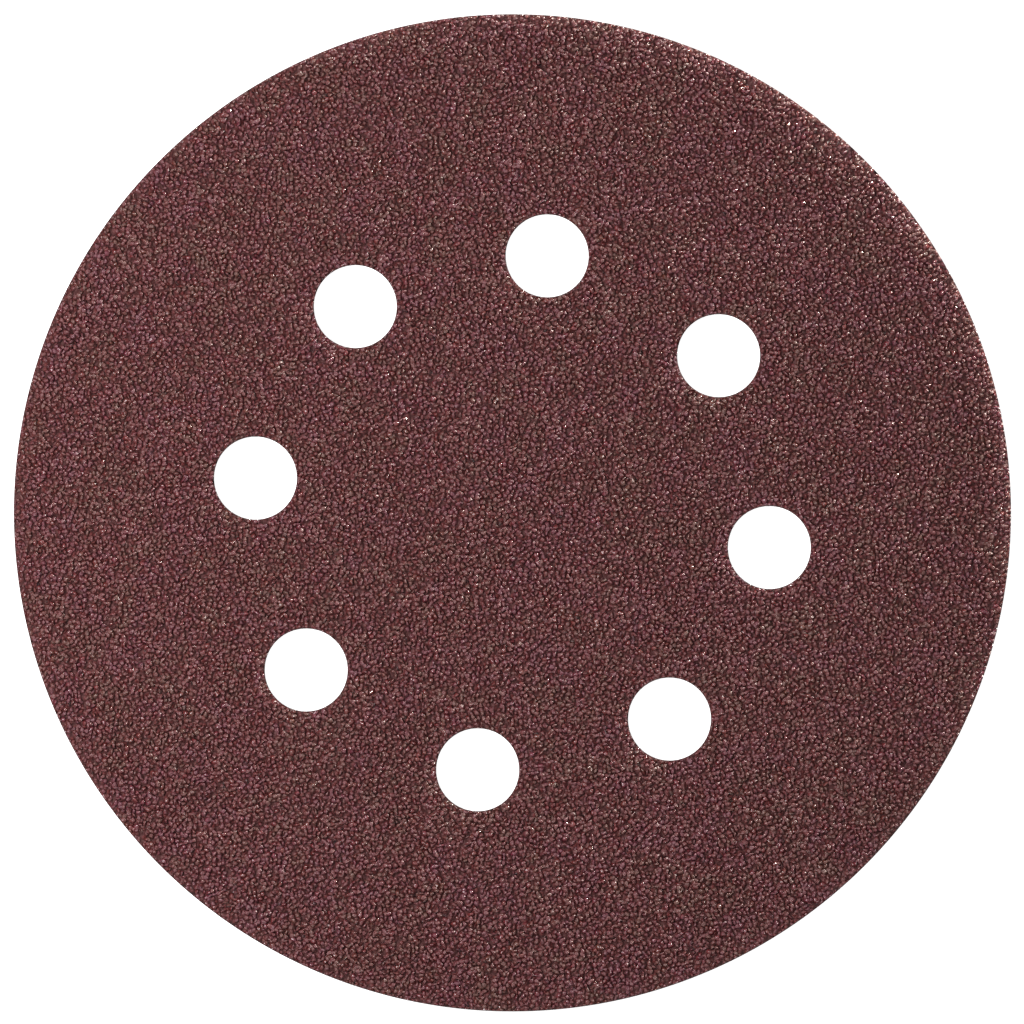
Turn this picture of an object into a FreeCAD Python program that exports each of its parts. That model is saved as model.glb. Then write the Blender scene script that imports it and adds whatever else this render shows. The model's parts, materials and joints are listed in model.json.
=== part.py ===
import FreeCAD, Part
import os
import sys

import Sketcher

# A hook and loop sanding disc, cut from a laminated web with one stroke of a die.
# From the floor up it is three bonded layers: a knitted loop fabric that grips the sander's pad,
# a heavy backing paper, and a coat of abrasive grain set in resin.
# The die leaves a plain round rim and a ring of round dust holes. Its edge presses the coat as it
# cuts, so the coat's face rolls down a little at the rim and at each hole.
#
# The disc lies on its loop face. The origin is the middle of that face, Z points up through the
# coated face, and the first dust hole is on the X axis. Lengths are in millimetres.

SIZES = [
    ("disc_diameter", 125.0),
    ("hole_count", 8),
    ("hole_diameter", 10.4),
    ("hole_circle_diameter", 65.0),
    ("fabric_thickness", 0.9),
    ("paper_thickness", 0.42),
    ("coat_thickness", 0.48),
    ("rim_roll_width", 3.0),
    ("rim_roll_radius", 18.0),
    ("hole_roll_width", 1.5),
    ("hole_roll_radius", 7.0),
    ("wale_pitch", 1.65),
    ("wale_gap_width", 0.5),
    ("wale_gap_depth", 0.3),
]

doc = FreeCAD.newDocument("sanding_disc")
sizes = doc.addObject("Spreadsheet::Sheet", "sizes")
for row, (name, number) in enumerate(SIZES, start=1):
    sizes.set(f"A{row}", name)
    sizes.set(f"B{row}", str(number))
    sizes.setAlias(f"B{row}", name)
doc.recompute()

# Radii and layer heights, as formulas of the sizes above
DISC_RADIUS = "sizes.disc_diameter / 2"
HOLE_RADIUS = "sizes.hole_diameter / 2"
HOLE_PLACE = "sizes.hole_circle_diameter / 2"
LIP_RADIUS = "sizes.hole_diameter / 2 + sizes.hole_roll_width"
FLOOR = "0"
FABRIC_TOP = "sizes.fabric_thickness"
PAPER_TOP = "sizes.fabric_thickness + sizes.paper_thickness"
COAT_TOP = "sizes.fabric_thickness + sizes.paper_thickness + sizes.coat_thickness"
WALE_GAPS = "2 * floor(sizes.disc_diameter / 2 / sizes.wale_pitch)"


def number_of(formula):
    return float(sizes.evalExpression(formula))


def rolled_height(roll):
    """Where the coat's face ends, at the cut edge."""
    radius = f"sizes.{roll}_roll_radius"
    return f"{COAT_TOP} - {radius} + sqrt({radius}^2 - sizes.{roll}_roll_width^2)"


def origin_feature(body, role):
    return next(item for item in body.Origin.OriginFeatures if item.Role == role)


def draw(body, name, corners, bends=None, shift=None):
    """A closed outline on the body's XZ plane. Corners are (x, z) formulas in order, and bends gives
    the radius of each edge that is an arc, by the number of the corner where it starts. Every arc is
    the top of a circle. The shift moves the outline's own axis out along X."""
    bends = bends or {}
    sketch = body.newObject("Sketcher::SketchObject", name)
    sketch.AttachmentSupport = (origin_feature(body, "XZ_Plane"), [""])
    sketch.MapMode = "FlatFace"
    if shift:
        sketch.setExpression("AttachmentOffset.Base.x", shift)
    spots = [FreeCAD.Vector(number_of(x), number_of(z), 0) for x, z in corners]
    followers = spots[1:] + spots[:1]
    for edge, (start, end) in enumerate(zip(spots, followers)):
        if edge not in bends:
            sketch.addGeometry(Part.LineSegment(start, end))
            continue
        radius = number_of(bends[edge])
        middle = (start + end) / 2
        down = FreeCAD.Vector(end.y - start.y, start.x - end.x, 0).normalize()
        down = down if down.y < 0 else -down
        centre = middle + down * (radius**2 - (end - middle).Length ** 2) ** 0.5
        top = centre + (middle - centre).normalize() * radius
        left, right = sorted((start, end), key=lambda spot: spot.x)
        sketch.addGeometry(Part.Arc(right, top, left))
    fix_outline(sketch, corners, bends, spots)
    return sketch


def fix_outline(sketch, corners, bends, spots):
    """Joins the edges at the corners and ties each corner and each arc to its formulas."""
    starts = [end_at(sketch, edge, spot) for edge, spot in enumerate(spots)]
    stops = [end_at(sketch, edge - 1 if edge else len(spots) - 1, spot) for edge, spot in enumerate(spots)]
    for edge, (x, z) in enumerate(corners):
        before = edge - 1 if edge else len(corners) - 1
        sketch.addConstraint(Sketcher.Constraint("Coincident", before, stops[edge], edge, starts[edge]))
        for word, formula, axis in (("DistanceX", x, -2), ("DistanceY", z, -1)):
            if formula == FLOOR:
                sketch.addConstraint(Sketcher.Constraint("PointOnObject", edge, starts[edge], axis))
                continue
            place = Sketcher.Constraint(word, -1, 1, edge, starts[edge], number_of(formula))
            bind(sketch, place, f"{word}_{edge}", formula)
    for edge, formula in bends.items():
        bind(sketch, Sketcher.Constraint("Radius", edge, number_of(formula)), f"bend_{edge}", formula)


def end_at(sketch, edge, spot):
    """1 where the edge has its start at this spot, and 2 where it has its end there."""
    shape = sketch.Geometry[edge]
    return 1 if shape.StartPoint.distanceToPoint(spot) < shape.EndPoint.distanceToPoint(spot) else 2


def bind(sketch, constraint, name, formula):
    place = sketch.addConstraint(constraint)
    sketch.renameConstraint(place, name)
    sketch.setExpression(f"Constraints.{name}", formula)


def revolve(body, kind, name, sketch):
    feature = body.newObject(kind, name)
    feature.Profile = sketch
    feature.ReferenceAxis = (sketch, ["V_Axis"])
    feature.Angle = 360
    doc.recompute()
    return feature


def round_layer(label, outline, bends=None):
    """One layer of the laminate, turned from its half section."""
    body = doc.addObject("PartDesign::Body", label)
    body.Label = label
    revolve(body, "PartDesign::Revolution", f"{label}_disc", draw(body, f"{label}_section", outline, bends))
    return body


def plain_layer(label, bottom, top):
    outline = [("0", bottom), (DISC_RADIUS, bottom), (DISC_RADIUS, top), ("0", top)]
    body = round_layer(label, outline)
    ring_of_holes(body, [punch(body, HOLE_RADIUS, bottom, top)])
    return body


def punch(body, radius, bottom, top):
    """The round slug that leaves the layer at the first hole's place."""
    outline = [("0", bottom), (radius, bottom), (radius, top), ("0", top)]
    sketch = draw(body, f"{body.Label}_slug_section", outline, shift=HOLE_PLACE)
    return revolve(body, "PartDesign::Groove", f"{body.Label}_slug", sketch)


def ring_of_holes(body, features):
    holes = body.newObject("PartDesign::PolarPattern", f"{body.Label}_holes")
    holes.Originals = features
    holes.Axis = (origin_feature(body, "Z_Axis"), [""])
    holes.Angle = 360
    holes.setExpression("Occurrences", "sizes.hole_count")
    holes.Refine = True
    body.Tip = holes
    doc.recompute()


def rolled_coat(label, bottom, top):
    """The coat's face rolls down at the rim. At each hole the slug is as wide as the lip, and the
    rolled lip comes back in its place."""
    tangent = f"{DISC_RADIUS} - sizes.rim_roll_width"
    outline = [
        ("0", bottom),
        (DISC_RADIUS, bottom),
        (DISC_RADIUS, rolled_height("rim")),
        (tangent, top),
        ("0", top),
    ]
    body = round_layer(label, outline, {2: "sizes.rim_roll_radius"})
    slug = punch(body, LIP_RADIUS, bottom, top)
    lip = [(LIP_RADIUS, bottom), (HOLE_RADIUS, bottom), (HOLE_RADIUS, rolled_height("hole")), (LIP_RADIUS, top)]
    lip_sketch = draw(body, f"{label}_lip_section", lip, {2: "sizes.hole_roll_radius"}, shift=HOLE_PLACE)
    lip_ring = revolve(body, "PartDesign::Revolution", f"{label}_lip", lip_sketch)
    ring_of_holes(body, [slug, lip_ring])
    return body


def cut_wales(body):
    """The knit's wales are ribs on the loop face. The gaps between them run along Y, and the middle
    of the face lies on a rib."""
    half_width = "sizes.wale_gap_width / 2"
    first = f"(0.5 - {WALE_GAPS} / 2) * sizes.wale_pitch"
    outline = [
        (f"-{half_width}", FLOOR),
        (half_width, FLOOR),
        (half_width, "sizes.wale_gap_depth"),
        (f"-{half_width}", "sizes.wale_gap_depth"),
    ]
    gap = body.newObject("PartDesign::Pocket", "wale_gap")
    gap.Profile = draw(body, "wale_gap_section", outline, shift=first)
    gap.Type = "ThroughAll"
    gap.Midplane = True
    wales = body.newObject("PartDesign::LinearPattern", "wales")
    wales.Originals = [gap]
    wales.Direction = (origin_feature(body, "X_Axis"), [""])
    wales.setExpression("Length", f"({WALE_GAPS} - 1) * sizes.wale_pitch")
    wales.setExpression("Occurrences", WALE_GAPS)
    body.Tip = wales
    doc.recompute()


loop_fabric = plain_layer("loop_fabric", FLOOR, FABRIC_TOP)
cut_wales(loop_fabric)
backing_paper = plain_layer("backing_paper", FABRIC_TOP, PAPER_TOP)
grain_coat = rolled_coat("grain_coat", PAPER_TOP, COAT_TOP)
layers = [loop_fabric, backing_paper, grain_coat]

for item in doc.Objects:
    if "Invalid" in item.State or "Error" in item.State:
        sys.exit(f"{item.Name} failed: {item.State}")
for layer in layers:
    if layer.Shape.isNull() or not layer.Shape.isValid():
        sys.exit(f"{layer.Label} has no valid shape")

os.makedirs("parts", exist_ok=True)
for layer in layers:
    layer.Shape.exportStep(f"parts/{layer.Label}.step")
    print(f"{layer.Label}: {layer.Shape.Volume:.1f} mm3, {len(layer.Shape.Faces)} faces")
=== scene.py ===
# %% [markdown]
# # A hook and loop sanding disc
#
# This lesson dresses a 125 mm sanding disc. The measured solids come from the frame, and everything
# that gives the disc its look is made here: the grain and its resin, the cut edge of the paper, and
# the loops underneath. Lengths are in metres, Z points up through the coated face, and the first dust
# hole is on the X axis.

# %% Load the frame
import json
import math

import bpy
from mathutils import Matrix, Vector
from mathutils.geometry import delaunay_2d_cdt


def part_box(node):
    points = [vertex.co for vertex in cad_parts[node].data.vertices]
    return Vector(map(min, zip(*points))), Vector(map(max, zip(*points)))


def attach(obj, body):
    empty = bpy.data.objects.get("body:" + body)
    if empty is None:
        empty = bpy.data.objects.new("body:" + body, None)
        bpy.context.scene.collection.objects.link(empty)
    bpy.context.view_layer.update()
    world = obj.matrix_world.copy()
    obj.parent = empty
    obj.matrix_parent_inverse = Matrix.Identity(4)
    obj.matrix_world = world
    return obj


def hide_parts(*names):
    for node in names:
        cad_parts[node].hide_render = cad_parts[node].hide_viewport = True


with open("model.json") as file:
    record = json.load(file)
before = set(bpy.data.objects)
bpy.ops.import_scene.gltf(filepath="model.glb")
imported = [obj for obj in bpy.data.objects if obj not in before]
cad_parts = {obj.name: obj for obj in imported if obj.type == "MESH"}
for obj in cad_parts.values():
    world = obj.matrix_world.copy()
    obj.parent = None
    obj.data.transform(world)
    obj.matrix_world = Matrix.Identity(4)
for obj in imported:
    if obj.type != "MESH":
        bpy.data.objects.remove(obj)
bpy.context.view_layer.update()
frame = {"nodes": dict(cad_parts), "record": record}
print("nodes:", sorted(frame["nodes"]))

# %% [markdown]
# ## The disc's own sizes
#
# Each layer lies between two heights, and the solids of the frame already hold them. The ring of dust
# holes is stated in the record, as the pattern that meets the ports of the sander's pad. Reading both
# keeps this scene true to the measured part if a size changes there.

# %% Sizes from the frame
MM = 0.001
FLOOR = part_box("loop_fabric")[0][2]
FABRIC_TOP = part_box("backing_paper")[0][2]
PAPER_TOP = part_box("grain_coat")[0][2]
COAT_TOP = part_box("grain_coat")[1][2]
RIM_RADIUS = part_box("grain_coat")[1][0]

hole_ring = next(mount["dims"] for mount in frame["record"]["mounts"] if mount["name"] == "dust_holes")
HOLE_COUNT = hole_ring["count"]
HOLE_RADIUS = hole_ring["hole_r_mm"] * MM
HOLE_PLACE = hole_ring["pcd_mm"] / 2 * MM
HOLE_CENTRES = [
    Vector((math.cos(turn), math.sin(turn))) * HOLE_PLACE
    for turn in (math.tau * index / HOLE_COUNT for index in range(HOLE_COUNT))
]
print(f"rim radius {RIM_RADIUS / MM:.2f} mm, {HOLE_COUNT} holes")
print(f"coat from {PAPER_TOP / MM:.2f} to {COAT_TOP / MM:.2f} mm")

# %% [markdown]
# ## The camera
#
# The disc is seen from straight above, turned a little so that the first hole lies just below the
# horizontal. A long lens far away shows the round rim without any of the cut edge. The lens is worked
# out from how much of the picture the disc fills.

# %% The camera
PICTURE_PIXELS = 1024
DISC_PIXELS = 997.6
DISC_CENTRE_PIXELS = (512.4, 512.8)
CAMERA_TURN = math.radians(7.7)
CAMERA_HEIGHT = 2.0

camera = bpy.data.objects.new("camera", bpy.data.cameras.new("camera"))
bpy.context.scene.collection.objects.link(camera)
bpy.context.scene.camera = camera
pixel = 2 * RIM_RADIUS / DISC_PIXELS
camera.data.lens = camera.data.sensor_width * (CAMERA_HEIGHT - COAT_TOP) / (pixel * PICTURE_PIXELS)
camera.data.clip_end = 10.0


def from_picture(right, up):
    """A direction in the picture, as a direction on the floor."""
    cosine, sine = math.cos(CAMERA_TURN), math.sin(CAMERA_TURN)
    return Vector((right * cosine - up * sine, right * sine + up * cosine, 0.0))


middle = PICTURE_PIXELS / 2
off_centre = from_picture((middle - DISC_CENTRE_PIXELS[0]) * pixel, (DISC_CENTRE_PIXELS[1] - middle) * pixel)
camera.location = off_centre + Vector((0.0, 0.0, CAMERA_HEIGHT))
camera.rotation_euler = (0.0, 0.0, CAMERA_TURN)
print(f"lens {camera.data.lens:.0f} mm, one pixel {pixel / MM:.4f} mm")

# %% [markdown]
# ## Building node trees line by line
#
# Materials and Geometry Nodes are both trees of nodes. The first helper adds one node, fills its
# sockets with numbers or with other nodes' outputs, and returns it, so a tree reads like a short
# program. The next three do sums with it, and the last one starts a material.

# %% Helpers for node trees
def add(tree, kind, sockets=None, **settings):
    node = tree.nodes.new(kind)
    for name, value in settings.items():
        setattr(node, name, value)
    for name, value in (sockets or {}).items():
        if isinstance(value, bpy.types.NodeSocket):
            tree.links.new(value, node.inputs[name])
        else:
            node.inputs[name].default_value = value
    return node


def calculate(tree, operation, *values):
    """One Math node, in a material or in Geometry Nodes."""
    return add(tree, "ShaderNodeMath", dict(enumerate(values)), operation=operation).outputs[0]


def vector(tree, operation, *values):
    """One Vector Math node that gives a vector."""
    return add(tree, "ShaderNodeVectorMath", dict(enumerate(values)), operation=operation).outputs["Vector"]


def measure(tree, operation, *values):
    """One Vector Math node that gives a number."""
    return add(tree, "ShaderNodeVectorMath", dict(enumerate(values)), operation=operation).outputs["Value"]


def new_material(name):
    material = bpy.data.materials.new(name)
    material.use_nodes = True
    return material, material.node_tree, material.node_tree.nodes["Principled BSDF"]


# %% [markdown]
# ## Floor and light
#
# The floor is plain and pale. Seen by the camera it turns almost white, but it still takes the disc's
# shadow. The light is a soft panel at the left of the picture, wider than the disc and near enough to
# fade across it, and an even sky around it. A small lamp stands low at the upper right. Its light only
# skims the grains, so it reaches their tips and the cut edges that face it, and makes them sparkle.

# %% The floor
FLOOR_SIZE = 3.0
FLOOR_COLOUR = (0.8, 0.8, 0.8, 1.0)
FLOOR_GLOW = 0.78
FLOOR_GAP = 0.02 * MM

floor_material, tree, shader = new_material("pale_floor")
shader.inputs["Base Color"].default_value = FLOOR_COLOUR
shader.inputs["Roughness"].default_value = 0.9
shader.inputs["Specular IOR Level"].default_value = 0.0
seen = add(tree, "ShaderNodeLightPath")
white = add(tree, "ShaderNodeEmission", {"Color": (1.0, 1.0, 1.0, 1.0), "Strength": FLOOR_GLOW})
both = add(tree, "ShaderNodeAddShader", {0: shader.outputs[0], 1: white.outputs[0]})
lifted = add(tree, "ShaderNodeMixShader", {0: seen.outputs["Is Camera Ray"], 1: shader.outputs[0]})
tree.links.new(both.outputs[0], lifted.inputs[2])
tree.links.new(lifted.outputs[0], tree.nodes["Material Output"].inputs["Surface"])

half = FLOOR_SIZE / 2
floor_mesh = bpy.data.meshes.new("pale_floor")
corners = [(-half, -half, 0), (half, -half, 0), (half, half, 0), (-half, half, 0)]
floor_mesh.from_pydata(corners, [], [(0, 1, 2, 3)])
floor_mesh.materials.append(floor_material)
floor = bpy.data.objects.new("pale_floor", floor_mesh)
floor.location.z = FLOOR - FLOOR_GAP
bpy.context.scene.collection.objects.link(floor)
print("floor", FLOOR_SIZE, "m across")

# %% The sky and the two lamps
SKY_STRENGTH = 0.65
PANEL_PLACE = from_picture(-0.25, 0.05) + Vector((0.0, 0.0, 0.28))
PANEL_SIZE = 0.16
PANEL_WATTS = 1.5
PANEL_COLOUR = (1.0, 0.975, 1.0)
LOW_PLACE = from_picture(0.24, 0.25) + Vector((0.0, 0.0, 0.0105))
LOW_SIZE = 0.016
LOW_WATTS = 3.0
LOW_COLOUR = (1.0, 1.0, 0.92)


def lamp(name, place, size, watts, colour):
    """A round area lamp that faces the disc."""
    light = bpy.data.lights.new(name, "AREA")
    light.shape = "DISK"
    light.size = size
    light.energy = watts
    light.color = colour
    stand = bpy.data.objects.new(name, light)
    stand.location = place
    stand.rotation_euler = (-place).to_track_quat("-Z", "Y").to_euler()
    bpy.context.scene.collection.objects.link(stand)
    print(name, f"at {place.length:.2f} m")
    return stand


world = bpy.data.worlds.new("studio")
world.use_nodes = True
bpy.context.scene.world = world
sky = world.node_tree.nodes["Background"]
sky.inputs["Color"].default_value = (1.0, 1.0, 1.0, 1.0)
tree = world.node_tree
seen = add(tree, "ShaderNodeLightPath").outputs["Is Camera Ray"]
level = add(tree, "ShaderNodeMix", {"Factor": seen, "A": SKY_STRENGTH, "B": 1.0})
tree.links.new(level.outputs["Result"], sky.inputs["Strength"])

lamp("panel", PANEL_PLACE, PANEL_SIZE, PANEL_WATTS, PANEL_COLOUR)
low_lamp = lamp("low_lamp", LOW_PLACE, LOW_SIZE, LOW_WATTS, LOW_COLOUR)
bpy.context.scene.view_settings.view_transform = "Standard"

# %% [markdown]
# ## A round plate with holes
#
# The resin bed and the knit ground are both flat round plates with a ring of holes. Rings of points
# run round the rim and round each hole, a Delaunay triangulation joins them, and the triangles that
# fall in a hole are left out. Rings that lie close together let the surface bend near a cut edge.

# %% The outline of a plate
RIM_POINTS = 288
HOLE_POINTS = 56
MERGE_DISTANCE = 1e-9


def ring(centre, radius, count):
    steps = (math.tau * index / count for index in range(count))
    return [centre + Vector((math.cos(step), math.sin(step))) * radius for step in steps]


def from_rim(x, y):
    """How far a place on the disc is from the cut rim."""
    return RIM_RADIUS - math.hypot(x, y)


def from_hole(x, y):
    """How far a place on the disc is from the wall of the nearest dust hole."""
    return min(math.hypot(x - centre.x, y - centre.y) for centre in HOLE_CENTRES) - HOLE_RADIUS


def plate_points(rim_steps, hole_steps, rows):
    """The points and edges of the rings, and of the straight rows along Y, each at its own x."""
    rings = [ring(Vector((0.0, 0.0)), RIM_RADIUS - step, RIM_POINTS) for step in rim_steps]
    for centre in HOLE_CENTRES:
        rings += [ring(centre, HOLE_RADIUS + step, HOLE_POINTS) for step in hole_steps]
    points, edges = [], []
    for loop in rings:
        first = len(points)
        edges += [(first + index, first + (index + 1) % len(loop)) for index in range(len(loop))]
        points += loop
    inner = RIM_RADIUS - max(rim_steps)
    for x in rows:
        if abs(x) < inner:
            end = math.sqrt(inner * inner - x * x)
            edges.append((len(points), len(points) + 1))
            points += [Vector((x, -end)), Vector((x, end))]
    return points, edges


def plate(name, rim_steps, hole_steps, bottom, top, rows=()):
    """A closed plate. bottom and top give the two heights at a place x, y."""
    points, edges = plate_points(rim_steps, hole_steps, rows)
    points, _, triangles, *_ = delaunay_2d_cdt(points, edges, [], 0, MERGE_DISTANCE)
    kept = []
    for triangle in triangles:
        x, y = sum((points[corner] for corner in triangle), Vector((0.0, 0.0))) / 3
        if from_hole(x, y) > 0:
            kept.append(tuple(triangle))
    count = len(points)
    sides = {}
    for a, b, c in kept:
        for start, end in ((a, b), (b, c), (c, a)):
            if sides.pop((end, start), None) is None:
                sides[start, end] = True
    vertices = [(x, y, top(x, y)) for x, y in points] + [(x, y, bottom(x, y)) for x, y in points]
    faces = kept + [(c + count, b + count, a + count) for a, b, c in kept]
    faces += [(start, start + count, end + count, end) for start, end in sides]
    mesh = bpy.data.meshes.new(name)
    mesh.from_pydata(vertices, [], faces)
    mesh.polygons.foreach_set("use_smooth", [index < 2 * len(kept) for index in range(len(faces))])
    mesh.update()
    thing = bpy.data.objects.new(name, mesh)
    bpy.context.scene.collection.objects.link(thing)
    return thing


# %% [markdown]
# ## The resin bed
#
# On the real disc a make coat of resin holds the grain, and a size coat over it fills the gaps. The
# bed stands for both. It is lower than the measured coat by the height at which the grains stand out,
# and it rolls down where the die pressed it, at the rim and round each hole.

# %% The rolled resin bed
BED_SHARE = 0.12
RIM_ROLL_WIDTH, RIM_ROLL_RADIUS = 3.0 * MM, 18.0 * MM
HOLE_ROLL_WIDTH, HOLE_ROLL_RADIUS = 1.5 * MM, 7.0 * MM
ROLL_STEPS = (0.0, 0.2, 0.45, 0.7, 1.0)


def arc_drop(distance, width, radius):
    """How far the coat's face has rolled down, this near to a cut edge."""
    along = max(width - distance, 0.0)
    return radius - math.sqrt(radius * radius - along * along)


def coat_height(x, y):
    """The height of the coat's face, which the tallest grains reach."""
    rim = arc_drop(max(from_rim(x, y), 0.0), RIM_ROLL_WIDTH, RIM_ROLL_RADIUS)
    hole = arc_drop(max(from_hole(x, y), 0.0), HOLE_ROLL_WIDTH, HOLE_ROLL_RADIUS)
    return COAT_TOP - max(rim, hole)


def bed_height(x, y):
    """The resin fills only the lowest share of the coat."""
    return PAPER_TOP + (coat_height(x, y) - PAPER_TOP) * BED_SHARE


rim_steps = [share * RIM_ROLL_WIDTH for share in ROLL_STEPS]
hole_steps = [share * HOLE_ROLL_WIDTH for share in ROLL_STEPS]
resin_bed = plate("resin_bed", rim_steps, hole_steps, lambda x, y: PAPER_TOP, bed_height)
print("resin_bed", len(resin_bed.data.polygons), "faces")

# %% [markdown]
# ## The resin and grain finishes
#
# Brown fused alumina under dark red resin reads as maroon. The resin's colour is darker down between
# the grains, as painted shade in the pits of a Voronoi pattern that gives it the relief of the finest
# ones, and lighter on their crowns, as painted light. Each grain carries two random numbers from
# Geometry Nodes, and its material turns them into a shade of maroon, brown or plum. Most grains have
# a dull film of resin. A few have none, and along a cut edge the die chips it off many more. Those are
# glossy, so they sparkle where they face the low lamp. Near a cut edge the grains' colour is darker,
# and the wall of the cut, where the die goes through the grains, is dull. The helpers come first,
# because every finish uses them.

# %% Helpers for finishes
WHOLE = (0.0, 1.0)


def noise(tree, place, scale, detail):
    """A noise pattern, as a number from 0 to 1."""
    pattern = add(tree, "ShaderNodeTexNoise", {"Vector": place, "Scale": scale, "Detail": detail})
    return pattern.outputs["Fac"]


def stretch(tree, value, old, new):
    """Turns one range of numbers into another, and holds what lies past its ends."""
    ends = {"From Min": old[0], "From Max": old[1], "To Min": new[0], "To Max": new[1]}
    return add(tree, "ShaderNodeMapRange", {"Value": value, **ends}).outputs[0]


def two_tone(tree, share, first, second):
    """A colour between two others."""
    tint = add(tree, "ShaderNodeMix", {"Factor": share}, data_type="RGBA")
    tint.inputs[6].default_value, tint.inputs[7].default_value = first, second
    return tint.outputs[2]


def raise_relief(tree, shader, height, strength, distance):
    """Shades the surface as if it rose and fell with the height."""
    relief = add(tree, "ShaderNodeBump", {"Height": height, "Strength": strength, "Distance": distance})
    tree.links.new(relief.outputs["Normal"], shader.inputs["Normal"])


# %% The resin between the grains
# The resin's colour in the pits, with painted shade, and on the crowns, with painted light.
RESIN_PIT_PAINTED_SHADE = (0.058, 0.011, 0.010, 1.0)
RESIN_CROWN_PAINTED_LIGHT = (0.125, 0.026, 0.025, 1.0)
PIT_ROUGHNESS, CROWN_ROUGHNESS = 0.75, 0.4
FINE_GRAIN = 0.6 * MM
CROWN_RANGE = (0.35, 0.75)
RIPPLE_SCALE = 3600.0
RIPPLE_SHARE = 0.35
RESIN_RELIEF = 0.6 * MM

resin, tree, shader = new_material("dark_red_resin")
place = add(tree, "ShaderNodeTexCoord").outputs["Object"]
fines = add(tree, "ShaderNodeTexVoronoi", {"Vector": place, "Scale": 1.0 / FINE_GRAIN})
crown = calculate(tree, "SUBTRACT", 1.0, fines.outputs["Distance"])
height = calculate(tree, "MULTIPLY_ADD", noise(tree, place, RIPPLE_SCALE, 3.0), RIPPLE_SHARE, crown)
# The resin's colour is darker in the pits of the Voronoi pattern, as painted shade, and lighter on the
# crowns, as painted light. The same share makes the crowns glossier.
painted_crown_light_and_gloss = stretch(tree, crown, CROWN_RANGE, WHOLE)
tree.links.new(two_tone(tree, painted_crown_light_and_gloss, RESIN_PIT_PAINTED_SHADE, RESIN_CROWN_PAINTED_LIGHT), shader.inputs["Base Color"])
gloss = stretch(tree, painted_crown_light_and_gloss, WHOLE, (PIT_ROUGHNESS, CROWN_ROUGHNESS))
tree.links.new(gloss, shader.inputs["Roughness"])
shader.inputs["Specular IOR Level"].default_value = 0.5
raise_relief(tree, shader, height, 1.0, RESIN_RELIEF)
resin_bed.data.materials.append(resin)
print("material", resin.name)

# %% The grains' finish
GRAIN_MAROON = (0.128, 0.024, 0.024, 1.0)
GRAIN_BROWN = (0.104, 0.034, 0.023, 1.0)
GRAIN_PLUM = (0.124, 0.024, 0.037, 1.0)
PATCH_SCALE, PATCH_RANGE = 320.0, (0.38, 0.62)
SCUFF_SCALE, SCUFF_RANGE = 3600.0, (0.3, 0.7)
GRAIN_SHADES = (0.94, 1.06)
MOTTLE_SHADES = (0.8, 1.2)
GRAIN_RELIEF = 0.3 * MM
GRAIN_SHINE = 0.85
FILM_ROUGHNESS = (0.5, 0.36)
CLEAN_SHARE = 0.12
CLEAN_ROUGHNESS, CLEAN_RELIEF = 0.22, 0.5
CHIPPED_SHARE = 0.8
# How much darker the grains' colour turns towards a cut edge, and over which part of the chipped width.
CUT_DARKENING_RANGE, CUT_DARKENING = (0.7, 1.0), 0.3
WALL_RANGE, WALL_ROUGHNESS = (0.93, 0.98), 0.8

grain_finish, tree, shader = new_material("coated_grain")
tone = add(tree, "ShaderNodeAttribute", attribute_name="grain_tone").outputs["Fac"]
kind = add(tree, "ShaderNodeAttribute", attribute_name="grain_kind").outputs["Fac"]
place = add(tree, "ShaderNodeTexCoord").outputs["Object"]
patches = stretch(tree, noise(tree, place, PATCH_SCALE, 2.0), PATCH_RANGE, WHOLE)
hue = calculate(tree, "MULTIPLY", calculate(tree, "ADD", kind, patches), 0.5)
hues = add(tree, "ShaderNodeValToRGB", {"Fac": hue})
hues.color_ramp.elements[0].color = GRAIN_BROWN
hues.color_ramp.elements[1].color = GRAIN_PLUM
hues.color_ramp.elements.new(0.5).color = GRAIN_MAROON
scuffs = noise(tree, place, SCUFF_SCALE, 3.0)
edge = add(tree, "ShaderNodeAttribute", attribute_name="cut_edge").outputs["Fac"]
shade = stretch(tree, tone, WHOLE, GRAIN_SHADES)
mottle = stretch(tree, scuffs, WHOLE, MOTTLE_SHADES)
# The colour is darker towards a cut edge, and darkest on the cut itself.
darker_near_cut = stretch(tree, edge, CUT_DARKENING_RANGE, (1.0, CUT_DARKENING))
depth = calculate(tree, "MULTIPLY", calculate(tree, "MULTIPLY", shade, mottle), darker_near_cut)
tinted = add(tree, "ShaderNodeVectorMath", {0: hues.outputs["Color"], "Scale": depth}, operation="SCALE")
tree.links.new(tinted.outputs[0], shader.inputs["Base Color"])
chipped = calculate(tree, "MULTIPLY_ADD", edge, CHIPPED_SHARE, tone)
clean = calculate(tree, "GREATER_THAN", chipped, 1.0 - CLEAN_SHARE)
film = stretch(tree, scuffs, SCUFF_RANGE, FILM_ROUGHNESS)
face = add(tree, "ShaderNodeMix", {"Factor": clean, "A": film, "B": CLEAN_ROUGHNESS}).outputs[0]
wall = stretch(tree, edge, WALL_RANGE, WHOLE)
gloss = add(tree, "ShaderNodeMix", {"Factor": wall, "A": face, "B": WALL_ROUGHNESS}).outputs[0]
tree.links.new(gloss, shader.inputs["Roughness"])
shader.inputs["Specular IOR Level"].default_value = GRAIN_SHINE
raise_relief(tree, shader, scuffs, stretch(tree, clean, WHOLE, (1.0, CLEAN_RELIEF)), GRAIN_RELIEF)
print("material", grain_finish.name)

# %% [markdown]
# ## The grains
#
# Crushed grain is blocky. The convex hull of ten random points on a ball gives just such a chip with
# sixteen faces, and a few different chips are enough. They are shaded smooth, since the resin film
# rounds their corners. Geometry Nodes scatters them over the bed with an even spacing, as electrostatic
# coating does, and turns and sizes each at random. The die cuts through whatever lies over the rim or
# a hole, so points past a cut edge are pulled back to it. A named attribute tells the material how near
# the cut is. The coat is made in four quarters, to keep each piece light.

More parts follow.
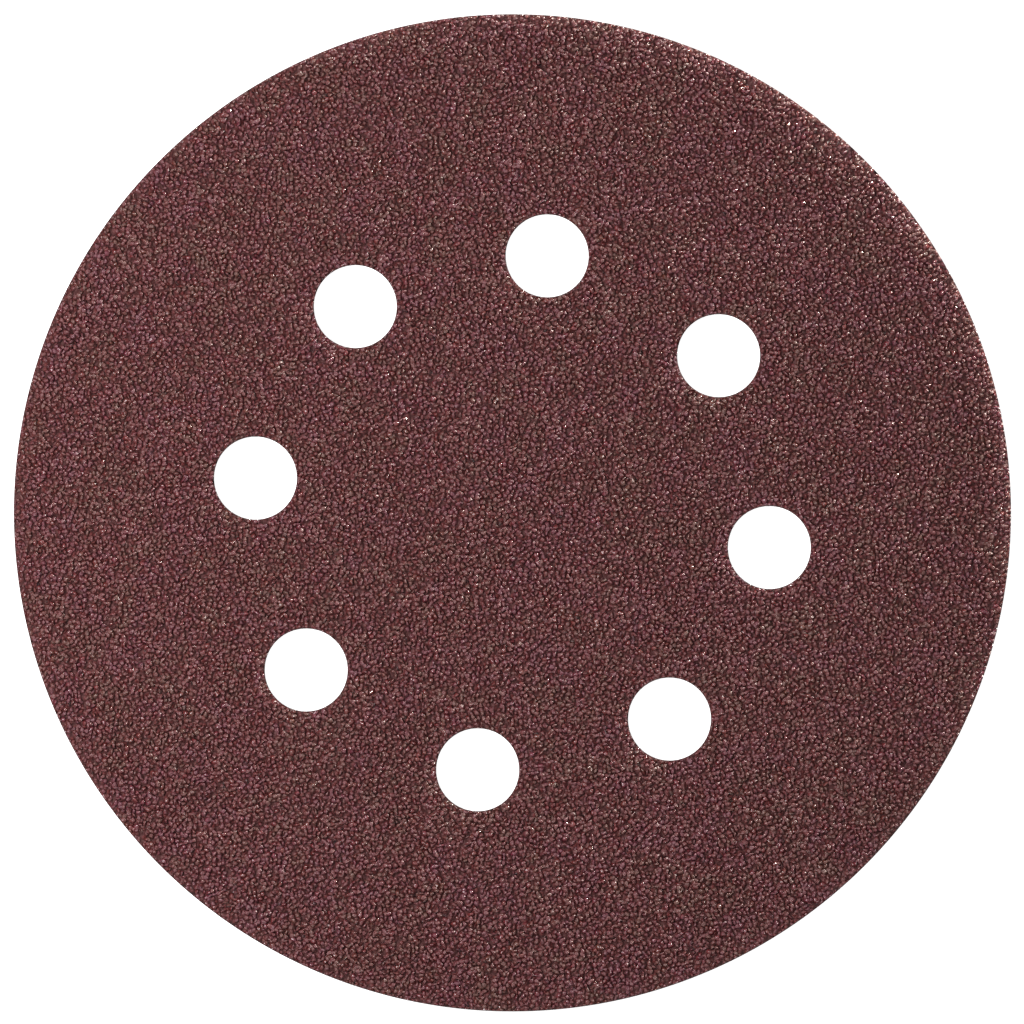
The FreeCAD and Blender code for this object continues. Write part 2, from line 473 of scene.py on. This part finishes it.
# %% Sizes of the grains
GRAIN_SPACING = 0.452 * MM
GRAIN_SMALLEST, GRAIN_LARGEST = 0.43 * MM, 0.52 * MM
GRAIN_NARROWEST = 0.86
GRAIN_SINK = 0.06 * MM
GRAIN_DENSITY_LIMIT = 8e7
GRAIN_SEED = 11
CHIP_SHAPES = 6
CHIP_CORNERS = 10
CHIP_REACH = 0.9
CHIPPED_WIDTH = 0.6 * MM
QUARTERS = 4
print(f"grains of {GRAIN_SMALLEST / MM:.2f} to {GRAIN_LARGEST / MM:.2f} mm in radius")

# %% Chips, random numbers and the ends of a tree
def group_with_inputs(name, inputs):
    """A Geometry Nodes group with one geometry in and out, and named inputs for its sizes."""
    group = bpy.data.node_groups.new(name, "GeometryNodeTree")
    group.interface.new_socket("Geometry", in_out="INPUT", socket_type="NodeSocketGeometry")
    group.interface.new_socket("Geometry", in_out="OUTPUT", socket_type="NodeSocketGeometry")
    for label, kind in inputs:
        group.interface.new_socket(label, in_out="INPUT", socket_type=kind)
    return group, group.nodes.new("NodeGroupInput").outputs


def finish_tree(tree, geometry, sizes):
    """Shades the geometry smooth, gives it its material and sends it out of the group."""
    smooth = add(tree, "GeometryNodeSetShadeSmooth", {"Geometry": geometry, "Shade Smooth": True})
    dressed = add(tree, "GeometryNodeSetMaterial", {"Geometry": smooth.outputs[0]})
    tree.links.new(sizes["Finish"], dressed.inputs["Material"])
    tree.links.new(dressed.outputs[0], tree.nodes.new("NodeGroupOutput").inputs[0])


def chip_shapes(tree, seed):
    """Several crushed chips about one unit in radius, as instances to pick from."""
    joined = tree.nodes.new("GeometryNodeJoinGeometry")
    for index in range(CHIP_SHAPES):
        shape_seed = calculate(tree, "ADD", seed, index)
        spot = add(tree, "FunctionNodeRandomValue", data_type="FLOAT_VECTOR")
        spot.inputs[0].default_value, spot.inputs[1].default_value = (-1, -1, -1), (1, 1, 1)
        tree.links.new(shape_seed, spot.inputs["Seed"])
        on_ball = vector(tree, "NORMALIZE", spot.outputs[0])
        corners = add(tree, "GeometryNodePoints", {"Count": CHIP_CORNERS, "Position": on_ball})
        hull = add(tree, "GeometryNodeConvexHull", {0: corners.outputs[0]})
        chip = add(tree, "GeometryNodeGeometryToInstance", {0: hull.outputs[0]})
        tree.links.new(chip.outputs[0], joined.inputs[0])
    return joined.outputs[0]


def random_number(tree, low, high, seed, offset):
    number = add(tree, "FunctionNodeRandomValue", data_type="FLOAT")
    for socket, value in ((number.inputs[2], low), (number.inputs[3], high)):
        if isinstance(value, bpy.types.NodeSocket):
            tree.links.new(value, socket)
        else:
            socket.default_value = value
    tree.links.new(calculate(tree, "ADD", seed, offset), number.inputs["Seed"])
    return number.outputs[1]


# %% Where the die cuts
def nearest_hole(tree, sizes):
    """The middle of the dust hole that is nearest in angle."""
    place = add(tree, "GeometryNodeInputPosition").outputs[0]
    x, y, _ = add(tree, "ShaderNodeSeparateXYZ", {0: place}).outputs
    step = math.tau / HOLE_COUNT
    turn = calculate(tree, "DIVIDE", calculate(tree, "ARCTAN2", y, x), step)
    turn = calculate(tree, "MULTIPLY", calculate(tree, "ROUND", turn), step)
    centre_x = calculate(tree, "MULTIPLY", calculate(tree, "COSINE", turn), sizes["Hole place"])
    centre_y = calculate(tree, "MULTIPLY", calculate(tree, "SINE", turn), sizes["Hole place"])
    return add(tree, "ShaderNodeCombineXYZ", {0: centre_x, 1: centre_y}).outputs[0]


def cut_by_the_die(tree, geometry, sizes):
    """Pulls points that lie past the rim, or inside a dust hole, back to the cut."""
    place = add(tree, "GeometryNodeInputPosition").outputs[0]
    x, y, z = add(tree, "ShaderNodeSeparateXYZ", {0: place}).outputs
    centre = nearest_hole(tree, sizes)
    flat = add(tree, "ShaderNodeCombineXYZ", {0: x, 1: y}).outputs[0]
    away = vector(tree, "SUBTRACT", flat, centre)
    distance = measure(tree, "LENGTH", away)
    out = calculate(tree, "MAXIMUM", calculate(tree, "DIVIDE", sizes["Hole radius"], distance), 1.0)
    pushed = add(tree, "ShaderNodeVectorMath", {0: away, "Scale": out}, operation="SCALE").outputs[0]
    flat = vector(tree, "ADD", pushed, centre)
    radius = measure(tree, "LENGTH", flat)
    inward = calculate(tree, "MINIMUM", calculate(tree, "DIVIDE", sizes["Rim radius"], radius), 1.0)
    flat = add(tree, "ShaderNodeVectorMath", {0: flat, "Scale": inward}, operation="SCALE").outputs[0]
    level = calculate(tree, "MAXIMUM", calculate(tree, "MINIMUM", z, sizes["Top"]), sizes["Bottom"])
    height = add(tree, "ShaderNodeCombineXYZ", {2: level}).outputs[0]
    target = vector(tree, "ADD", flat, height)
    return add(tree, "GeometryNodeSetPosition", {"Geometry": geometry, "Position": target}).outputs[0]


def near_the_cut(tree, sizes):
    """1 on the rim and on the edge of a dust hole, falling to 0 over the width that the die chips."""
    place = add(tree, "GeometryNodeInputPosition").outputs[0]
    flat = vector(tree, "MULTIPLY", place, (1.0, 1.0, 0.0))
    rim = calculate(tree, "SUBTRACT", sizes["Rim radius"], measure(tree, "LENGTH", flat))
    reach = measure(tree, "DISTANCE", flat, nearest_hole(tree, sizes))
    hole = calculate(tree, "SUBTRACT", reach, sizes["Hole radius"])
    share = calculate(tree, "DIVIDE", calculate(tree, "MINIMUM", rim, hole), CHIPPED_WIDTH)
    return calculate(tree, "MAXIMUM", calculate(tree, "SUBTRACT", 1.0, share), 0.0)


def keep_quarter(tree, points, quarter):
    """Drops the points whose place isn't in this quarter of the disc."""
    place = add(tree, "GeometryNodeInputPosition").outputs[0]
    parts = add(tree, "ShaderNodeSeparateXYZ", {0: place})
    turn = calculate(tree, "ARCTAN2", parts.outputs[1], parts.outputs[0])
    share = calculate(tree, "DIVIDE", calculate(tree, "ADD", turn, math.pi), math.tau / QUARTERS)
    own = calculate(tree, "COMPARE", calculate(tree, "FLOOR", share), quarter, 0.1)
    outside = calculate(tree, "SUBTRACT", 1.0, own)
    return add(tree, "GeometryNodeDeleteGeometry", {0: points, 1: outside}).outputs[0]


# %% The grain scatter, as a node tree
grain_inputs = [
    ("Spacing", "NodeSocketFloat"),
    ("Smallest", "NodeSocketFloat"),
    ("Largest", "NodeSocketFloat"),
    ("Sink", "NodeSocketFloat"),
    ("Bottom", "NodeSocketFloat"),
    ("Top", "NodeSocketFloat"),
    ("Rim radius", "NodeSocketFloat"),
    ("Hole radius", "NodeSocketFloat"),
    ("Hole place", "NodeSocketFloat"),
    ("Quarter", "NodeSocketInt"),
    ("Seed", "NodeSocketInt"),
    ("Finish", "NodeSocketMaterial"),
]


def grain_tree():
    tree, sizes = group_with_inputs("grain_scatter", grain_inputs)
    scatter = add(tree, "GeometryNodeDistributePointsOnFaces", distribute_method="POISSON")
    tree.links.new(sizes["Geometry"], scatter.inputs["Mesh"])
    tree.links.new(sizes["Spacing"], scatter.inputs["Distance Min"])
    scatter.inputs["Density Max"].default_value = GRAIN_DENSITY_LIMIT
    tree.links.new(sizes["Seed"], scatter.inputs["Seed"])
    points = keep_quarter(tree, scatter.outputs["Points"], sizes["Quarter"])

    turns = add(tree, "FunctionNodeRandomValue", data_type="FLOAT_VECTOR")
    turns.inputs[0].default_value, turns.inputs[1].default_value = (0, 0, 0), (math.tau, math.tau, math.tau)
    tree.links.new(sizes["Seed"], turns.inputs["Seed"])
    size = random_number(tree, sizes["Smallest"], sizes["Largest"], sizes["Seed"], 1)
    reach = calculate(tree, "MULTIPLY", size, CHIP_REACH)
    sunk = calculate(tree, "ADD", reach, random_number(tree, 0.0, sizes["Sink"], sizes["Seed"], 5))
    down = add(tree, "ShaderNodeCombineXYZ", {2: calculate(tree, "MULTIPLY", sunk, -1.0)}).outputs[0]
    points = add(tree, "GeometryNodeSetPosition", {"Geometry": points, "Offset": down}).outputs[0]
    narrow = calculate(tree, "MULTIPLY", size, random_number(tree, GRAIN_NARROWEST, 1.0, sizes["Seed"], 2))
    shape = add(tree, "ShaderNodeCombineXYZ", {0: size, 1: narrow, 2: narrow})
    pick = add(tree, "FunctionNodeRandomValue", data_type="INT")
    pick.inputs[4].default_value, pick.inputs[5].default_value = 0, CHIP_SHAPES - 1
    tree.links.new(sizes["Seed"], pick.inputs["Seed"])
    placed = add(
        tree,
        "GeometryNodeInstanceOnPoints",
        {
            "Points": points,
            "Instance": chip_shapes(tree, sizes["Seed"]),
            "Pick Instance": True,
            "Instance Index": pick.outputs[2],
            "Rotation": turns.outputs[0],
            "Scale": shape.outputs[0],
        },
    ).outputs[0]
    for offset, label in ((3, "grain_tone"), (4, "grain_kind")):
        number = random_number(tree, 0.0, 1.0, sizes["Seed"], offset)
        store = add(tree, "GeometryNodeStoreNamedAttribute", {"Geometry": placed, "Name": label})
        store.domain = "INSTANCE"
        tree.links.new(number, store.inputs["Value"])
        placed = store.outputs[0]
    real = add(tree, "GeometryNodeRealizeInstances", {0: placed}).outputs[0]
    cut = cut_by_the_die(tree, real, sizes)
    edge = add(tree, "GeometryNodeStoreNamedAttribute", {"Geometry": cut, "Name": "cut_edge"})
    tree.links.new(near_the_cut(tree, sizes), edge.inputs["Value"])
    finish_tree(tree, edge.outputs[0], sizes)
    return tree


grain_scatter = grain_tree()
print("grain_scatter has", len(grain_scatter.nodes), "nodes")

# %% Running a tree and keeping its mesh
def grown_mesh(name, source, group, values):
    """Runs a node group over a mesh and returns a plain object that holds the result."""
    carrier = bpy.data.objects.new(name + "_carrier", source)
    bpy.context.scene.collection.objects.link(carrier)
    modifier = carrier.modifiers.new(name, "NODES")
    modifier.node_group = group
    for item in group.interface.items_tree:
        if item.in_out == "INPUT" and item.name in values:
            modifier[item.identifier] = values[item.name]
    evaluated = carrier.evaluated_get(bpy.context.evaluated_depsgraph_get())
    mesh = bpy.data.meshes.new_from_object(evaluated)
    mesh.name = name
    carrier.modifiers.remove(modifier)
    bpy.data.objects.remove(carrier)
    thing = bpy.data.objects.new(name, mesh)
    bpy.context.scene.collection.objects.link(thing)
    return thing


def upper_face(name, thing, height):
    """A copy of a plate's top alone, lifted to another height."""
    source = thing.data
    half = len(source.vertices) // 2
    faces = [tuple(face.vertices) for face in source.polygons if max(face.vertices) < half]
    spots = [(spot.co.x, spot.co.y, height(spot.co.x, spot.co.y)) for spot in source.vertices[:half]]
    mesh = bpy.data.meshes.new(name)
    mesh.from_pydata(spots, [], faces)
    return mesh


coat_face = upper_face("coat_face", resin_bed, coat_height)
grains = []
for quarter in range(QUARTERS):
    values = {
        "Spacing": GRAIN_SPACING,
        "Smallest": GRAIN_SMALLEST,
        "Largest": GRAIN_LARGEST,
        "Sink": GRAIN_SINK,
        "Bottom": PAPER_TOP,
        "Top": COAT_TOP,
        "Rim radius": RIM_RADIUS,
        "Hole radius": HOLE_RADIUS,
        "Hole place": HOLE_PLACE,
        "Quarter": quarter,
        "Seed": GRAIN_SEED,
        "Finish": grain_finish,
    }
    grains.append(grown_mesh(f"grains_{quarter + 1}", coat_face, grain_scatter, values))
    print(grains[-1].name, len(grains[-1].data.polygons), "triangles")

# %% [markdown]
# ## The cut edge of the paper
#
# The paper itself shows only where the die cut it, as a thin brown line round the rim and in each dust
# hole. Heavy paper is pressed from several plies, so its edge has faint level lines and loose fibres.

# %% The paper's finish
PAPER_BROWN = (0.085, 0.038, 0.026, 1.0)
PAPER_PALE = (0.170, 0.090, 0.062, 1.0)
PAPER_SCALE = 900.0
PLIES_FLATTER = 10.0
PAPER_RELIEF = 0.1 * MM

paper, tree, shader = new_material("kraft_paper_edge")
place = add(tree, "ShaderNodeTexCoord").outputs["Object"]
level_lines = add(tree, "ShaderNodeMapping", {"Vector": place, "Scale": (1.0, 1.0, PLIES_FLATTER)})
plies = noise(tree, level_lines.outputs[0], PAPER_SCALE, 4.0)
tree.links.new(two_tone(tree, plies, PAPER_BROWN, PAPER_PALE), shader.inputs["Base Color"])
shader.inputs["Roughness"].default_value = 0.85
shader.inputs["Specular IOR Level"].default_value = 0.2
raise_relief(tree, shader, plies, 0.7, PAPER_RELIEF)
paper_mesh = bpy.data.objects["backing_paper"].data
paper_mesh.materials.clear()
paper_mesh.materials.append(paper)
print("material", paper.name)

# %% [markdown]
# ## The knit ground
#
# The loop fabric is warp knit from white nylon. Its ground is a thin cloth, glued to the paper, whose
# stitches line up in ribs called wales. Rows of points along the ribs and the gaps let the plate's
# underside rise and fall with them.

# %% The ribbed knit ground
WALE_PITCH = 1.65 * MM
RIB_DROP = 0.14 * MM
GROUND_BOTTOM = FLOOR + 0.52 * MM
ROWS_PER_WALE = 4
GROUND_RINGS = (0.0, 0.3 * MM)

wales = 2 * math.floor(RIM_RADIUS / WALE_PITCH) + 1
half_rows = wales * ROWS_PER_WALE // 2
rows = [(index + 0.5) / ROWS_PER_WALE * WALE_PITCH for index in range(-half_rows, half_rows)]


def ground_height(x, y):
    """Lowest in the middle of a wale, and highest in the gap beside it."""
    return GROUND_BOTTOM - RIB_DROP * (0.5 + 0.5 * math.cos(math.tau * x / WALE_PITCH))


knit_ground = plate("knit_ground", GROUND_RINGS, GROUND_RINGS, ground_height, lambda x, y: FABRIC_TOP, rows)
print("knit_ground", len(knit_ground.data.polygons), "faces,", wales, "wales")

# %% The nylon finishes
LOOP_PALE = (0.66, 0.64, 0.60, 1.0)
LOOP_SHADE = (0.50, 0.48, 0.44, 1.0)
# The knit ground is the same white nylon as the loops. It is given darker colours as painted shade, where it
# lies behind the pile of loops.
GROUND_PALE_PAINTED_SHADE = (0.46, 0.44, 0.40, 1.0)
GROUND_DARK_PAINTED_SHADE = (0.32, 0.30, 0.27, 1.0)
GROUND_SHEEN, LOOP_SHEEN = 0.2, 0.4
SOIL_SCALE = 260.0
FIBRE_SCALE = 6000.0
NYLON_RELIEF = 0.1 * MM
COURSE_PITCH = 1.0 * MM
STITCH_SLANT = 1.3
WALES_ASIDE = 50.0


def nylon(name, pale, shade, sheen, pattern_height):
    """Off-white nylon. pattern_height(tree, place) gives its relief."""
    material, tree, shader = new_material(name)
    place = add(tree, "ShaderNodeTexCoord").outputs["Object"]
    tint = two_tone(tree, noise(tree, place, SOIL_SCALE, 3.0), shade, pale)
    tree.links.new(tint, shader.inputs["Base Color"])
    shader.inputs["Roughness"].default_value = 0.55
    shader.inputs["Sheen Weight"].default_value = sheen
    raise_relief(tree, shader, pattern_height(tree, place), 0.8, NYLON_RELIEF)
    return material


def knit_relief(tree, place):
    """Slanting stitches that meet in a V along each wale."""
    parts = add(tree, "ShaderNodeSeparateXYZ", {0: place})
    across = calculate(tree, "DIVIDE", parts.outputs[0], WALE_PITCH)
    side = calculate(tree, "PINGPONG", calculate(tree, "ADD", across, WALES_ASIDE), 0.5)
    along = calculate(tree, "DIVIDE", parts.outputs[1], COURSE_PITCH)
    slant = calculate(tree, "ADD", along, calculate(tree, "MULTIPLY", side, STITCH_SLANT))
    return calculate(tree, "SINE", calculate(tree, "MULTIPLY", slant, math.tau))


def fibre_relief(tree, place):
    return noise(tree, place, FIBRE_SCALE, 2.0)


# The ground's nylon carries painted shade. The loops' nylon keeps its own off-white.
knit_finish_painted_shade = nylon("knit_nylon_painted_shade", GROUND_PALE_PAINTED_SHADE, GROUND_DARK_PAINTED_SHADE, GROUND_SHEEN, knit_relief)
loop_finish = nylon("loop_nylon", LOOP_PALE, LOOP_SHADE, LOOP_SHEEN, fibre_relief)
knit_ground.data.materials.append(knit_finish_painted_shade)
print("materials", knit_finish_painted_shade.name, loop_finish.name)

# %% [markdown]
# ## The loops
#
# What the sander's hooks catch is a pile of fine loops that stand out of each wale. One loop is an arc
# of a little over half a turn, swept with a three-sided thread so that it stays light. Geometry Nodes
# sets two on each stitch, leans and turns them at random, and presses the tallest flat on the floor.

# %% Sizes of the loops
LOOP_RADIUS = 0.42 * MM
LOOP_SMALLEST, LOOP_LARGEST = 0.8, 1.15
LOOP_OPENING = math.radians(140)
LOOP_STEPS = 5
LOOP_FOOT = 0.56 * MM
LOOP_LEAN, LOOP_TIP = 0.6, 0.3
LOOP_SEED = 23
LOOP_MARGIN = 0.25 * MM
LOOPS_PER_STITCH = 2
THREAD_RADIUS = 0.065 * MM
THREAD_SIDES = 3
APART_ACROSS, APART_ALONG = 0.4, 0.5
STRAY_ACROSS, STRAY_ALONG = 0.1, 0.2
print(f"loops {2 * LOOP_RADIUS / MM:.2f} mm wide, of {2 * THREAD_RADIUS / MM:.2f} mm thread")

# %% One loop, and the loops that the die leaves
loop_inputs = [
    ("Wales", "NodeSocketInt"),
    ("Wale pitch", "NodeSocketFloat"),
    ("Courses", "NodeSocketInt"),
    ("Course pitch", "NodeSocketFloat"),
    ("Loops per stitch", "NodeSocketInt"),
    ("Loop radius", "NodeSocketFloat"),
    ("Thread radius", "NodeSocketFloat"),
    ("Foot", "NodeSocketFloat"),
    ("Bottom", "NodeSocketFloat"),
    ("Top", "NodeSocketFloat"),
    ("Rim radius", "NodeSocketFloat"),
    ("Hole radius", "NodeSocketFloat"),
    ("Hole place", "NodeSocketFloat"),
    ("Margin", "NodeSocketFloat"),
    ("Quarter", "NodeSocketInt"),
    ("Seed", "NodeSocketInt"),
    ("Finish", "NodeSocketMaterial"),
]


def thread_loop(tree, sizes):
    """One loop that hangs down from its two feet at the origin."""
    arc = add(
        tree,
        "GeometryNodeCurveArc",
        {
            "Resolution": LOOP_STEPS,
            "Radius": sizes["Loop radius"],
            "Start Angle": math.pi / 2 + LOOP_OPENING / 2,
            "Sweep Angle": math.tau - LOOP_OPENING,
        },
    )
    thread = add(tree, "GeometryNodeCurvePrimitiveCircle", {"Resolution": THREAD_SIDES})
    tree.links.new(sizes["Thread radius"], thread.inputs["Radius"])
    swept = add(tree, "GeometryNodeCurveToMesh", {"Curve": arc.outputs[0], "Fill Caps": True})
    tree.links.new(thread.outputs[0], swept.inputs["Profile Curve"])
    feet = calculate(tree, "MULTIPLY", sizes["Loop radius"], -math.cos(LOOP_OPENING / 2))
    drop = add(tree, "ShaderNodeCombineXYZ", {2: feet}).outputs[0]
    upright = add(tree, "GeometryNodeTransform", {"Geometry": swept.outputs[0], "Translation": drop})
    upright.inputs["Rotation"].default_value = (math.pi / 2, 0, 0)
    return upright.outputs[0]


def drop_cut_loops(tree, points, sizes):
    """Leaves out the loops whose stitch is at or past a cut edge."""
    place = add(tree, "GeometryNodeInputPosition").outputs[0]
    parts = add(tree, "ShaderNodeSeparateXYZ", {0: place})
    flat = add(tree, "ShaderNodeCombineXYZ", {0: parts.outputs[0], 1: parts.outputs[1]}).outputs[0]
    rim = calculate(tree, "SUBTRACT", sizes["Rim radius"], sizes["Margin"])
    off = calculate(tree, "GREATER_THAN", measure(tree, "LENGTH", flat), rim)
    away = vector(tree, "SUBTRACT", flat, nearest_hole(tree, sizes))
    hole = calculate(tree, "ADD", sizes["Hole radius"], sizes["Margin"])
    in_hole = calculate(tree, "LESS_THAN", measure(tree, "LENGTH", away), hole)
    gone = calculate(tree, "MAXIMUM", off, in_hole)
    return add(tree, "GeometryNodeDeleteGeometry", {0: points, 1: gone}).outputs[0]


# %% The rows of loops, as a node tree
def loop_tree():
    tree, sizes = group_with_inputs("loop_rows", loop_inputs)
    wale, course = sizes["Wale pitch"], sizes["Course pitch"]
    width = calculate(tree, "MULTIPLY", calculate(tree, "SUBTRACT", sizes["Wales"], 1.0), wale)
    length = calculate(tree, "MULTIPLY", calculate(tree, "SUBTRACT", sizes["Courses"], 1.0), course)
    grid = add(tree, "GeometryNodeMeshGrid", {"Size X": width, "Size Y": length})
    tree.links.new(sizes["Wales"], grid.inputs["Vertices X"])
    tree.links.new(sizes["Courses"], grid.inputs["Vertices Y"])
    stitches = add(tree, "GeometryNodeMeshToPoints", {"Mesh": grid.outputs[0]}).outputs[0]
    threads = add(tree, "GeometryNodeDuplicateElements", {"Geometry": stitches}, domain="POINT")
    tree.links.new(sizes["Loops per stitch"], threads.inputs["Amount"])
    each = calculate(tree, "SUBTRACT", threads.outputs["Duplicate Index"], 0.5)
    aside = calculate(tree, "MULTIPLY", each, calculate(tree, "MULTIPLY", wale, APART_ACROSS))
    ahead = calculate(tree, "MULTIPLY", each, calculate(tree, "MULTIPLY", course, APART_ALONG))
    across = random_number(tree, -STRAY_ACROSS, STRAY_ACROSS, sizes["Seed"], 5)
    along = random_number(tree, -STRAY_ALONG, STRAY_ALONG, sizes["Seed"], 6)
    shift_x = calculate(tree, "ADD", aside, calculate(tree, "MULTIPLY", wale, across))
    shift_y = calculate(tree, "ADD", ahead, calculate(tree, "MULTIPLY", course, along))
    moved = add(tree, "ShaderNodeCombineXYZ", {0: shift_x, 1: shift_y, 2: sizes["Foot"]}).outputs[0]
    points = add(tree, "GeometryNodeSetPosition", {"Geometry": threads.outputs[0], "Offset": moved})
    points = keep_quarter(tree, drop_cut_loops(tree, points.outputs[0], sizes), sizes["Quarter"])
    lean = random_number(tree, -LOOP_LEAN, LOOP_LEAN, sizes["Seed"], 1)
    tip = random_number(tree, -LOOP_TIP, LOOP_TIP, sizes["Seed"], 2)
    turn = random_number(tree, 0.0, math.pi, sizes["Seed"], 3)
    rotation = add(tree, "ShaderNodeCombineXYZ", {0: lean, 1: tip, 2: turn})
    placed = add(
        tree,
        "GeometryNodeInstanceOnPoints",
        {
            "Points": points,
            "Instance": thread_loop(tree, sizes),
            "Rotation": rotation.outputs[0],
            "Scale": random_number(tree, LOOP_SMALLEST, LOOP_LARGEST, sizes["Seed"], 4),
        },
    ).outputs[0]
    real = add(tree, "GeometryNodeRealizeInstances", {0: placed}).outputs[0]
    cut = cut_by_the_die(tree, real, sizes)
    finish_tree(tree, cut, sizes)
    return tree


loop_rows = loop_tree()
print("loop_rows has", len(loop_rows.nodes), "nodes")

# %% Growing the loops
loops = []
for quarter in range(QUARTERS):
    values = {
        "Wales": wales,
        "Wale pitch": WALE_PITCH,
        "Courses": round(2 * RIM_RADIUS / COURSE_PITCH),
        "Course pitch": COURSE_PITCH,
        "Loops per stitch": LOOPS_PER_STITCH,
        "Loop radius": LOOP_RADIUS,
        "Thread radius": THREAD_RADIUS,
        "Foot": FLOOR + LOOP_FOOT,
        "Bottom": FLOOR,
        "Top": FABRIC_TOP,
        "Rim radius": RIM_RADIUS,
        "Hole radius": HOLE_RADIUS,
        "Hole place": HOLE_PLACE,
        "Margin": LOOP_MARGIN,
        "Quarter": quarter,
        "Seed": LOOP_SEED,
        "Finish": loop_finish,
    }
    loops.append(grown_mesh(f"loops_{quarter + 1}", bpy.data.meshes.new("no_mesh"), loop_rows, values))
    triangles = sum(len(face.vertices) - 2 for face in loops[-1].data.polygons)
    print(loops[-1].name, triangles, "triangles")

# %% [markdown]
# ## Keeping the low lamp off the fabric
#
# A lamp this low and near would burn out the white edge of the fabric. A photographer would shade the
# fabric with a card. Light linking does the same here: the lamp lights only what its collection holds.

# %% What the low lamp lights
coat = bpy.data.collections.new("lit_by_the_low_lamp")
for piece in (resin_bed, *grains):
    coat.objects.link(piece)
low_lamp.light_linking.receiver_collection = coat

# %% [markdown]
# ## What rides on the disc
#
# The layers are glued together, so every piece moves with the one body.

# %% Handing the pieces to the frame
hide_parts("grain_coat")
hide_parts("loop_fabric")
for slot, pieces in {"grain_coat": [resin_bed, *grains], "loop_fabric": [knit_ground, *loops]}.items():
    for piece in pieces:
        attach(piece, "root")
